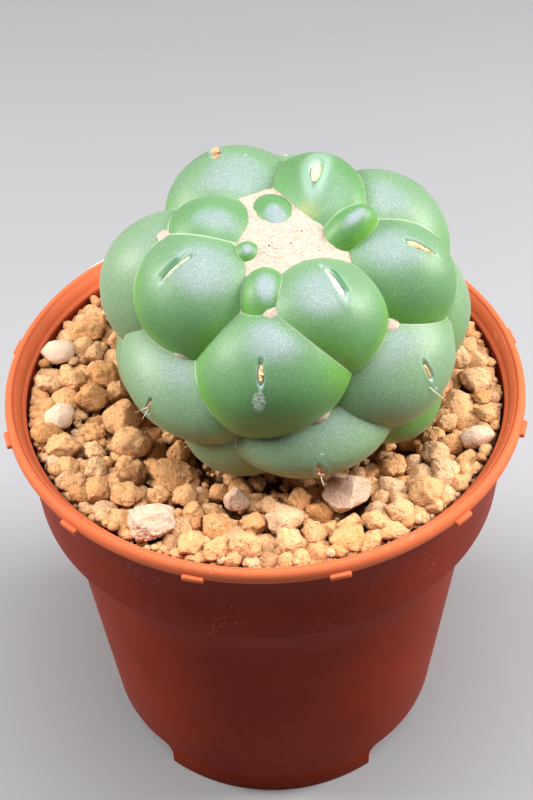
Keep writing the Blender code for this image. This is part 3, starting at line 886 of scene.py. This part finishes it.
def makeSpines():
    runs = []
    for age, lengthwise, crosswise, length in spine["bristles"]:
        middle, axes, _ = tubercleFrame(age)
        point, along, side, out, _, _ = areoleFrame(age)
        way = axes @ (out * 0.75 + along * lengthwise + side * crosswise).normalized()
        runs.append((middle + axes @ (point - out * 0.7 * mm), way * length * mm, 1))
    runs += [(Vector(root) * mm, Vector(way) * mm, thick) for root, way, thick in spine["strays"]]
    bm = bmesh.new()
    for root, way, thick in runs:
        length = way.length
        turn = way.to_track_quat("Z", "Y").to_matrix().to_4x4()
        one = bmesh.new()
        bmesh.ops.create_cone(one, cap_ends=True, segments=8, radius1=spine["radius"] * thick,
                              radius2=spine["radius"] * thick * 0.2, depth=length,
                              matrix=Matrix.Translation((0, 0, length / 2)))
        flanks = [edge for edge in one.edges if abs(edge.verts[0].co.z - edge.verts[1].co.z) > length * 0.5]
        bmesh.ops.subdivide_edges(one, edges=flanks, cuts=5)
        for vert in one.verts:
            vert.co.x += spine["bend"] * length * (vert.co.z / length) ** 2
        bmesh.ops.transform(one, matrix=Matrix.Translation(root) @ turn, verts=one.verts)
        absorb(bm, one)
    fixed = {"IOR": 1.5, "Subsurface Weight": 0.1, "Subsurface Scale": 0.001}
    horn = newMaterial("spineHorn", fixed, paintHorn)
    newPiece(bm, "spines", horn, "areole_wool")
    print("spines made")


# Pot: a turned shell with a rolled bead, a stepped collar and three feet

# its main measures are rounded from a fit to points picked on the photo's outlines
pot = {
    "rim": 52.5 * mm,
    "height": 91.5 * mm,
    "bead": 3.0 * mm,
    "lip": 2.5 * mm,
    "collar": (49.7 * mm, 47.9 * mm, 67.1 * mm),
    "wall": (43.7 * mm, 35.9 * mm),
    "foot": 35.3 * mm,
    "skirt": 6.4 * mm,
    "floor": 6.8 * mm,
    "thick": 1.3 * mm,
    "turns": 180,
    "feet": 3,
    "footArc": math.radians(76),
    "footTurn": math.radians(-3),
    "archRounding": 2.6 * mm,
    "tabs": 12,
    "tabTurn": math.radians(-76),
    "tabSize": (3 * mm, 4.2 * mm, 1.1 * mm),
    "drains": 6,
    "drainRing": 21 * mm,
    "drainRadius": 3.5 * mm,
}


def wallRadius(height):
    share = (height - pot["skirt"]) / (pot["collar"][2] - pot["skirt"])
    return pot["wall"][1] + (pot["wall"][0] - pot["wall"][1]) * share


def collarRadius(height):
    high, low, step = pot["collar"]
    share = (height - step) / (pot["height"] - pot["bead"] - step)
    return low + (high - low) * share


def potInside(clearance=0.0):
    # the inner wall from under the bead down, drawn in by the clearance
    top = pot["height"] - pot["bead"]
    step = pot["collar"][2] + pot["thick"]
    thick, base = pot["thick"], pot["floor"]
    return [
        (collarRadius(top) - thick - clearance, top),
        (collarRadius(step + 0.8 * mm) - thick - clearance, step + 0.8 * mm),
        (collarRadius(step) - thick - 0.7 * mm - clearance, step + clearance),
        (wallRadius(step) - thick + 0.5 * mm - clearance, step - 0.9 * mm + clearance),
        (wallRadius(step) - thick - 0.2 * mm - clearance, step - 1.7 * mm),
        (wallRadius(base) - thick - clearance, base + 3 * mm),
        (wallRadius(base) - thick - 1.5 * mm - clearance, base + thick + clearance),
    ]


def paintPot(place):
    level = place.level()
    cloud = place.noise(16 * mm, 3)
    fine = place.noise(0.7 * mm, 3, 0.6)
    stretched = place.node("ShaderNodeMapping", {}, {"Vector": place, "Scale": (1, 1, 0.08)})
    streaks = stretched.noise(1.6 * mm, 3, 0.55)
    colour = cloud.step(0.3, 0.7).blend(rgb(0.195, 0.019, 0.006), rgb(0.235, 0.025, 0.009))
    colour = (streaks.step(0.5, 0.8) * 0.2).blend(colour, rgb(0.29, 0.042, 0.015))
    # painted light: the bead and the top of the inner wall are painted brighter, where the overhead light
    # falls on them
    colour = (level.step(0.0872, 0.0892) * 0.8).blend(colour, rgb(0.72, 0.17, 0.07))
    # dust low on the wall, fine scuffs on the collar
    dust = fine.step(0.55, 0.72) * level.step(0.045, 0.0) * 0.05
    colour = dust.blend(colour, rgb(0.60, 0.42, 0.30))
    slanted = {"Vector": place, "Rotation": (0.5, 0.7, 0.4), "Scale": (1, 0.07, 1)}
    scratch = place.node("ShaderNodeMapping", {}, slanted)
    scuff = scratch.noise(0.5 * mm, 2, 0.5).step(0.63, 0.70) * place.noise(11 * mm, 2).step(0.52, 0.66)
    scuff = scuff * level.step(0.055, 0.07)
    colour = (scuff * 0.45).blend(colour, rgb(0.80, 0.42, 0.26))
    height = fine * 0.35 + streaks * 0.4 + scuff * 0.4
    return {"Base Color": colour, "Roughness": 0.36 + cloud * 0.12 + scuff * 0.2,
            "Normal": height.bump(0.06 * mm, 0.5)}


def potBead():
    # from the inner wall up over the rolled edge and down its outside
    top, rim = pot["height"], pot["rim"]
    lip = rim - pot["lip"]
    return [
        (lip - 0.9 * mm, top - 2.6 * mm),
        (lip - 0.75 * mm, top - 1.9 * mm),
        (lip - 0.45 * mm, top - 1.25 * mm),
        (lip, top - 0.75 * mm),
        (lip + 0.45 * mm, top - 0.5 * mm),
        (lip + 0.62 * mm, top - 0.62 * mm),
        (lip + 0.78 * mm, top - 0.5 * mm),
        (lip + 1.0 * mm, top - 0.12 * mm),
        (rim - 1.1 * mm, top),
        (rim - 0.7 * mm, top - 0.12 * mm),
        (rim - 0.3 * mm, top - 0.45 * mm),
        (rim - 0.07 * mm, top - 1.0 * mm),
        (rim, top - 1.6 * mm),
        (rim - 0.05 * mm, top - 2.2 * mm),
        (rim - 0.35 * mm, top - 2.75 * mm),
        (rim - 0.9 * mm, top - pot["bead"] - 0.05 * mm),
        (rim - 1.5 * mm, top - pot["bead"] - 0.1 * mm),
    ]


def potOutside():
    # down the collar and the wall, round a foot and in under the raised floor
    top = pot["height"]
    high, low, step = pot["collar"]
    return [
        (high + 0.25 * mm, top - pot["bead"] - 0.25 * mm),
        (high, top - pot["bead"] - 0.6 * mm),
        (collarRadius(step + 10 * mm), step + 10 * mm),
        (low + 0.03 * mm, step + 0.9 * mm),
        (low - 0.1 * mm, step + 0.35 * mm),
        (low - 0.45 * mm, step + 0.02 * mm),
        (low - 1.0 * mm, step - 0.1 * mm),
        (pot["wall"][0] + 1.2 * mm, step - 0.35 * mm),
        (pot["wall"][0] + 0.45 * mm, step - 0.6 * mm),
        (wallRadius(step - 1.4 * mm), step - 1.4 * mm),
        (wallRadius(step - 14 * mm), step - 14 * mm),
        (wallRadius(40 * mm), 40 * mm),
        (wallRadius(24 * mm), 24 * mm),
        (wallRadius(pot["skirt"] + 0.5 * mm), pot["skirt"] + 0.5 * mm),
        (wallRadius(pot["skirt"]) - 0.12 * mm, pot["skirt"] - 0.1 * mm),
        (pot["wall"][1] - 0.35 * mm, 4.4 * mm),
        (pot["wall"][1] - 0.28 * mm, 4.2 * mm),
        (pot["foot"] + 0.12 * mm, 4.0 * mm),
        (pot["foot"], 0.5 * mm),
        (pot["foot"] - 0.15 * mm, 0.12 * mm),
        (pot["foot"] - 0.45 * mm, 0),
        (pot["foot"] - 1.35 * mm, 0),
        (pot["foot"] - 1.6 * mm, 0.2 * mm),
        (pot["foot"] - 1.8 * mm, pot["floor"] - 0.6 * mm),
        (pot["foot"] - 2.4 * mm, pot["floor"]),
        (0, pot["floor"]),
    ]


def makeTabs():
    # left by the mould under the bead
    tabs = []
    for index in range(pot["tabs"]):
        bm = bmesh.new()
        bmesh.ops.create_cube(bm, size=1, matrix=Matrix.Diagonal((*pot["tabSize"], 1)))
        bmesh.ops.bevel(bm, geom=bm.edges[:], offset=0.3 * mm, affect="EDGES", segments=3, profile=0.5,
                        material=-1)
        place = Matrix.Rotation(pot["tabTurn"] + math.tau / pot["tabs"] * index, 4, "Z")
        place = place @ Matrix.Translation((pot["rim"] - 0.7 * mm, 0, pot["height"] - 2.3 * mm))
        bmesh.ops.transform(bm, matrix=place, verts=bm.verts)
        tabs.append(newObject(bm, "tab"))
    return tabs


def makeCutters():
    # the arches between the feet, and the drain holes
    cutters = []
    arch = math.tau / pot["feet"] - pot["footArc"]
    down, up = -2 * mm, pot["skirt"] - 0.2 * mm
    near, far = pot["foot"] - 4 * mm, pot["foot"] + 3 * mm
    corners = ((near, down), (far, down), (far, up), (near, up))
    for index in range(pot["feet"]):
        bm = bmesh.new()
        face = bm.faces.new([bm.verts.new((radius, 0, height)) for radius, height in corners])
        bmesh.ops.spin(bm, geom=[face] + face.edges[:] + face.verts[:], cent=(0, 0, 0), axis=(0, 0, 1),
                       angle=arch, steps=14, use_duplicate=False)
        bmesh.ops.recalc_face_normals(bm, faces=bm.faces)
        ends = [edge for edge in bm.edges
                if all(vert.co.z > 0 for vert in edge.verts) and edge.calc_face_angle(0) > 1.2
                and abs(edge.verts[0].co.xy.length - edge.verts[1].co.xy.length) > 5 * mm]
        bmesh.ops.bevel(bm, geom=ends, offset=pot["archRounding"], affect="EDGES", segments=6,
                        profile=0.5, material=-1)
        start = -math.pi / 2 + pot["footTurn"] + pot["footArc"] / 2 + math.tau / pot["feet"] * index
        bmesh.ops.rotate(bm, verts=bm.verts, cent=(0, 0, 0), matrix=Matrix.Rotation(start, 3, "Z"))
        cutters.append(newObject(bm, "arch"))
    for index in range(pot["drains"]):
        bm = bmesh.new()
        place = Matrix.Rotation(math.tau / pot["drains"] * (index + 0.5), 4, "Z")
        place = place @ Matrix.Translation((pot["drainRing"], 0, pot["floor"] + pot["thick"] / 2))
        bmesh.ops.create_cone(bm, cap_ends=True, segments=32, radius1=pot["drainRadius"],
                              radius2=pot["drainRadius"], depth=4 * pot["thick"], matrix=place)
        cutters.append(newObject(bm, "drain"))
    return cutters


def makePot():
    inside = potInside()
    bm = bmesh.new()
    turnProfile(bm, [(0, inside[-1][1])] + inside[::-1] + potBead() + potOutside(), pot["turns"])
    bm = fuse(newObject(bm, "shell"), makeTabs(), "UNION")
    bm = fuse(newObject(bm, "shell"), makeCutters(), "DIFFERENCE")
    plastic = newMaterial("potPlastic", {
        "IOR": 1.49,
        "Specular IOR Level": 0.03,
        "Subsurface Weight": 0.06,
        "Subsurface Scale": 0.001,
        "Subsurface Radius": (1.0, 0.3, 0.1),
    }, paintPot)
    piece = newPiece(bm, "potShell", plastic, "pot_plastic", "pot")
    piece.data.set_sharp_from_angle(angle=math.radians(35))
    print("pot:", len(piece.data.polygons), "faces")


# Grit: baked-clay grains, with pale pumice stones among them

grit = {
    "top": 86.8 * mm,
    "slope": 0.01,
    "floorDrop": 3.6 * mm,
    "heap": 1.3 * mm,
    "count": 116,
    "radii": (2.4 * mm, 4.7 * mm),
    "seed": 7,
    # room to the pot's wall and to the pumice stones, and round the root in the bed
    "gap": 0.3 * mm,
    "rootGap": 0.4 * mm,
    "tries": 60000,
    "fillTries": 26000,
    # the first small grains have finer faces, and some are thrown along the wall
    "fineFill": 260,
    "fillAtWall": 0.4,
    "fillRadii": (1.2 * mm, 3.4 * mm),
    "crumbs": 1150,
    "crumbRadii": (0.5 * mm, 1.3 * mm),
    # how far from the root, or from the plant's axis, a grain keeps
    "rootClear": 7 * mm,
    "fillClear": 14 * mm,
    "crumbClear": 13.5 * mm,
    # x, y, half length, half width and half height in millimetres, turn in degrees;
    # the first six lie near rays through points picked in the photo
    "pumice": (
        (-22.6, -37.2, 4.1, 3.8, 3.2, 20),
        (15.2, -30.6, 4.9, 4.5, 3.4, 70),
        (41.3, -16.2, 3.7, 2.1, 2.4, 15),
        (-42.6, 13.6, 3.4, 2.9, 2.6, 80),
        (-41.4, -6.0, 3.6, 3.2, 2.7, 40),
        (-6.2, -30.8, 2.8, 2.4, 2.3, 0),
        (30.0, 31.0, 3.6, 3.0, 2.8, 30),
    ),
    # how lumpy, how finely divided and how pitted; some are worn smooth
    "pumiceForms": ((0.25, 5, 0.075), (0.2, 5, 0.045), (0.1, 4, 0.012), (0.1, 4, 0.0), (0.1, 4, 0.0),
                    (0.2, 5, 0.05), (0.2, 5, 0.05)),
    "pumiceTones": (0.7, 0.25, 0.6, 0.95, 0.95, 0.3, 0.6),
    # stones that differ from their solids: scale of their half sizes, and a further turn in degrees
    "pumiceTrims": {1: (1.22, 1.12, 1.0, -20), 4: (1.06, 1.06, 0.86, -75), 5: (0.94, 0.94, 0.84, 0)},
}


def clayTones(tint):
    # foot marks the grain for painted shade on its lower half
    return {"tone": tint.betavariate(3.0, 1.7), "grey": max(0, tint.gauss(-0.25, 0.33)), "foot": 0}


def bedTop(y):
    return grit["top"] - grit["slope"] * y


def heap(spot, wall):
    # the grains lie a little higher towards the wall
    return grit["heap"] * smooth(spot.length, wall - 12 * mm, wall - 2 * mm)


def insidePlant(point, clearance):
    for age in plant["tubercles"]:
        middle, axes, half = tubercleFrame(age)
        local = axes.transposed() @ (point - middle)
        if sum((local[k] / (half[k] + clearance)) ** 2 for k in range(3)) < 1:
            return True
    return False


def polar(angle, out):
    return Vector((out * math.cos(angle), out * math.sin(angle)))


def crowded(spot, radius, placed, byGrain, byStone, gap):
    # whether a grain lies nearer than it may to another grain or to a pumice stone
    for other, size, grain in placed:
        share, room = (byGrain, 0) if grain else (byStone, gap)
        if (spot - other).length < (radius + size) * share + room:
            return True
    return False


def fromAxis(spot):
    return (spot - plant["centre"].xy).length


def grainPlaces(wall):
    # the same throw of grains as the solid's, larger ones first
    rng = random.Random(grit["seed"])
    rootRadius = plant["root"][1][0] * mm
    placed = [(Vector((x, y)) * mm, (length + width) / 2 * mm, False)
              for x, y, length, width, *_ in grit["pumice"]]
    grains = []
    tries = 0
    while len(grains) < grit["count"] and tries < grit["tries"]:
        tries += 1
        share = len(grains) / grit["count"]
        radius = grit["radii"][1] + (grit["radii"][0] - grit["radii"][1]) * share**0.6
        spot = polar(rng.uniform(0, math.tau), wall * math.sqrt(rng.random()))
        if spot.length + radius * 1.02 > wall - 0.4 * mm:
            continue
        if fromAxis(spot) < rootRadius + radius + grit["rootClear"]:
            continue
        if crowded(spot, radius, placed, 0.8, 1.12, grit["gap"]):
            continue
        placed.append((spot, radius, True))
        grains.append((spot, radius))
    return grains, placed


def addStone(bm, middle, turn, half, number, roughness, divisions, chip, tones):
    # chip: how deep the fine pits go, as a share of the stone
    one = bmesh.new()
    addLayers(one, *tones)
    bmesh.ops.create_icosphere(one, subdivisions=divisions, radius=1)
    rng = random.Random(number)
    offset = Vector((number * 3.1, number * 1.7, 0))
    nearest, farthest = (0.66, 0.92) if roughness > 0.1 else (0.84, 0.98)
    flats = [(scatter(rng).normalized(), rng.uniform(nearest, farthest)) for _ in range(13)]
    place = Matrix.Translation(middle) @ Matrix.Rotation(turn, 4, "Z")
    for vert in one.verts:
        unit = vert.co.copy()
        spot = unit * (1 + roughness * noise.noise(unit * 1.6 + offset))
        for normal, reach in flats:
            over = spot.dot(normal) - reach
            if over > 0:
                spot -= normal * over * 0.93
        if chip:
            swell = chip * noise.fractal(unit * 3.4 + offset, 0.6, 2.2, 5)
            pit = noise.voronoi(unit * 4.2 + offset)[0][0]
            swell -= chip * 0.7 * (1 - smooth(pit, 0.05, 0.28))
            swell -= chip * 1.1 * (1 - smooth(abs(noise.noise(unit * 2.1 + offset * 2)), 0.0, 0.07))
            spot *= 1 + swell
        vert.co = place @ (spot * half)
    for name, value in tones.items():
        setTone(one, one.verts, name, value)
    if "foot" in tones:
        # the lower half, painted darker as shade where the grains touch
        foot = one.verts.layers.float["foot"]
        for vert in one.verts:
            vert[foot] = 1 - smooth((vert.co.z - middle.z) / half.z, -0.3, 0.4)
    absorb(bm, one)


def paintGrit(place):
    tone, grey, foot = (place.named(name) for name in ("tone", "grey", "foot"))
    cloud = place.noise(2.4 * mm, 4, 0.6)
    fine = place.noise(0.8 * mm, 6, 0.75)
    pits = place.cells(0.9 * mm)
    colour = tone.ramp((0.0, (0.13, 0.05, 0.016)), (0.15, (0.60, 0.25, 0.08)), (0.4, (0.81, 0.385, 0.155)),
                       (0.7, (0.89, 0.475, 0.22)), (1.0, (0.92, 0.58, 0.34)))
    colour = (cloud.step(0.35, 0.7) * 0.45).blend(colour, rgb(0.87, 0.51, 0.21))
    colour = (grey * 0.75).blend(colour, rgb(0.60, 0.42, 0.32))
    colour = (fine.step(0.49, 0.34) * 0.6).blend(colour, rgb(0.40, 0.15, 0.04))
    colour = (fine.step(0.52, 0.70) * 0.5).blend(colour, rgb(0.88, 0.62, 0.36))
    # painted shade: the pits are darker
    colour = (pits.step(0.22, 0.06) * 0.6).blend(colour, rgb(0.14, 0.05, 0.017))
    # the clay is darker low down between the grains, partly still moist and partly painted shade, and each
    # grain's lower half has painted shade where the grains touch
    depth = place.level().step(0.0875, 0.0845)
    colour = (depth * 0.3).blend(colour, rgb(0.20, 0.07, 0.02))
    colour = (foot * 0.7).blend(colour, rgb(0.19, 0.07, 0.022))
    crumble = place.cells(0.55 * mm)
    height = fine * 0.9 + pits.step(0.0, 0.3) * 0.35 + crumble.step(0.7, 0.0) * 0.2 + cloud * 0.3
    return {"Base Color": colour, "Roughness": 0.88 + fine * 0.1, "Normal": height.bump(0.75 * mm, 1.0)}


def paintPumice(place):
    tone = place.named("tone")
    cloud = place.noise(2.2 * mm, 4, 0.6)
    fine = place.noise(0.35 * mm, 4, 0.7)
    pits = place.cells(0.7 * mm)
    colour = tone.blend(rgb(0.60, 0.38, 0.26), rgb(0.75, 0.53, 0.38))
    colour = (cloud.step(0.35, 0.7) * 0.4).blend(colour, rgb(0.74, 0.54, 0.42))
    colour = (fine.step(0.52, 0.36) * (1 - tone).step(0.0, 0.5) * 0.8).blend(colour, rgb(0.38, 0.23, 0.16))
    # painted shade: the pores are darker
    colour = (pits.step(0.22, 0.06) * 0.45).blend(colour, rgb(0.35, 0.22, 0.16))
    height = fine * 0.6 + pits.step(0.0, 0.3) * 0.5 + cloud * 0.4
    return {"Base Color": colour, "Roughness": 0.86 + fine * 0.1, "Normal": height.bump(0.3 * mm, 0.9)}


def makeBed(wall):
    # the bed under the loose grains, with the hole that the root stands in
    low = bedTop(0) - grit["floorDrop"]
    inside = [point for point in potInside(grit["gap"]) if point[1] < low]
    bm = bmesh.new()
    turnProfile(bm, [(0, low), (wall - 0.5 * mm, low)] + inside + [(0, inside[-1][1])], 96)
    bed = newObject(bm, "bed")
    bm = bmesh.new()
    gap = grit["rootGap"]
    hole = [(radius * mm + (gap if radius else 0), height * mm - (gap if height < 50 else 0))
            for radius, height in plant["root"]]
    turnProfile(bm, hole, plant["rootSteps"])
    bmesh.ops.translate(bm, verts=bm.verts, vec=(plant["centre"].x, 0, 0))
    bm = fuse(bed, [newObject(bm, "hole")], "DIFFERENCE")
    addLayers(bm, "tone", "grey", "foot")
    # the darkest tone: partly moist clay, partly painted shade in the gaps between the grains
    setTone(bm, bm.verts, "tone", 0.0)
    setTone(bm, bm.verts, "grey", 0.0)
    return bm


def addGrains(bm, grains, wall, tint):
    rng = random.Random(grit["seed"] + 1)
    loose = 0
    for index, (spot, radius) in enumerate(grains):
        height = radius * rng.uniform(0.62, 0.85)
        middle = Vector((spot.x, spot.y, bedTop(spot.y) + height * rng.uniform(0.1, 0.5)))
        middle.z += heap(spot, wall) * 0.5
        turn = rng.uniform(0, math.tau)
        half = Vector((radius, radius * rng.uniform(0.82, 1), height))
        lowered = 0
        while lowered < 12 and insidePlant(middle + Vector((0, 0, height * 1.05)), 1.2 * mm + radius * 0.5):
            middle.z -= 0.5 * mm
            lowered += 1
        if middle.z + height < bedTop(spot.y) + 0.8 * mm:
            continue
        addStone(bm, middle, turn, half, index, 0.3, 4, 0.095, clayTones(tint))
        loose += 1
    print("large grains:", loose)


def addFill(bm, placed, wall, tint, rng):
    # smaller grains in the gaps between the large ones
    small = 0
    for tries in range(grit["fillTries"]):
        share = tries / grit["fillTries"]
        radius = grit["fillRadii"][1] + (grit["fillRadii"][0] - grit["fillRadii"][1]) * share
        angle, out = rng.uniform(0, math.tau), wall * math.sqrt(rng.random())
        if rng.random() < grit["fillAtWall"]:
            out = wall - radius * rng.uniform(0.9, 1.2)
        spot = polar(angle, out)
        if spot.length + radius * 0.89 > wall or fromAxis(spot) < grit["fillClear"] + radius:
            continue
        if crowded(spot, radius, placed, 0.62 - 0.12 * share, 0.74, 0):
            continue
        placed.append((spot, radius, True))
        height = radius * rng.uniform(0.7, 0.9)
        middle = Vector((spot.x, spot.y, bedTop(spot.y) - 0.3 * radius + rng.uniform(-1.4, 0.7) * mm))
        middle.z += heap(spot, wall)
        while insidePlant(middle + Vector((0, 0, height)), 0.6 * mm):
            middle.z -= 0.5 * mm
        half = Vector((radius, radius * rng.uniform(0.75, 1), height))
        addStone(bm, middle, rng.uniform(0, math.tau), half, 300 + small, 0.3,
                 3 if small < grit["fineFill"] else 2, 0.085, clayTones(tint))
        small += 1
    print("small grains:", small)


def addCrumbs(bm, wall, tint, rng):
    # crumbs in the last gaps, every third one along the wall
    for index in range(grit["crumbs"]):
        angle, out = rng.uniform(0, math.tau), (wall - 1.2 * mm) * math.sqrt(rng.random())
        radius = rng.uniform(*grit["crumbRadii"])
        if index % 3 == 0:
            out = wall - radius * rng.uniform(1, 2)
        spot = polar(angle, out)
        if fromAxis(spot) < grit["crumbClear"]:
            continue
        middle = Vector((spot.x, spot.y, bedTop(spot.y) - rng.uniform(0.3, 2.2) * mm))
        middle.z += heap(spot, wall) * 0.9
        half = Vector((radius, radius * rng.uniform(0.7, 1), radius * 0.8))
        addStone(bm, middle, rng.uniform(0, math.tau), half, 900 + index, 0.4, 2, 0, clayTones(tint))


def makePumice():
    pale = newMaterial("pumiceStone", {"Specular IOR Level": 0.3}, paintPumice)
    for index, (x, y, length, width, height, turn) in enumerate(grit["pumice"], 1):
        longer, wider, higher, moreTurn = grit["pumiceTrims"].get(index, (1, 1, 1, 0))
        middle = Vector((x * mm, y * mm, bedTop(y * mm) + 0.72 * height * higher * mm + 0.3 * mm))
        bm = bmesh.new()
        half = Vector((length * longer, width * wider, height * higher)) * mm
        addStone(bm, middle, math.radians(turn + moreTurn), half, 40 + index,
                 *grit["pumiceForms"][index - 1], {"tone": grit["pumiceTones"][index - 1]})
        newPiece(bm, f"pumice{index}", pale, "pumice", f"pumice_{index}")


def makeGrit():
    clay = newMaterial("bakedClay", {"Specular IOR Level": 0.3}, paintGrit)
    tint = random.Random(3)
    wall = potInside(grit["gap"])[0][0]
    grains, placed = grainPlaces(wall)
    bm = makeBed(wall)
    addGrains(bm, grains, wall, tint)
    newPiece(bm, "gritBed", clay, "baked_clay", "grit_bed")
    rng = random.Random(29)
    bm = bmesh.new()
    addFill(bm, placed, wall, tint, rng)
    newPiece(bm, "gritFill", clay, "baked_clay")
    bm = bmesh.new()
    addCrumbs(bm, wall, tint, rng)
    newPiece(bm, "gritCrumbs", clay, "baked_clay")
    makePumice()
    print("grit made")


def makeFloor():
    bm = bmesh.new()
    bmesh.ops.create_grid(bm, x_segments=1, y_segments=1, size=studio["floorSize"] / 2)
    ground = newObject(bm, "floor")
    fixed = {"Base Color": rgb(*studio["floor"]), "Roughness": 0.9}
    ground.data.materials.append(newMaterial("floorPaper", fixed, lambda place: {}))


makeCamera()
makeLights()
makeFloor()
makePlant()
makeFelt()
makeSpines()
makePot()
makeGrit()
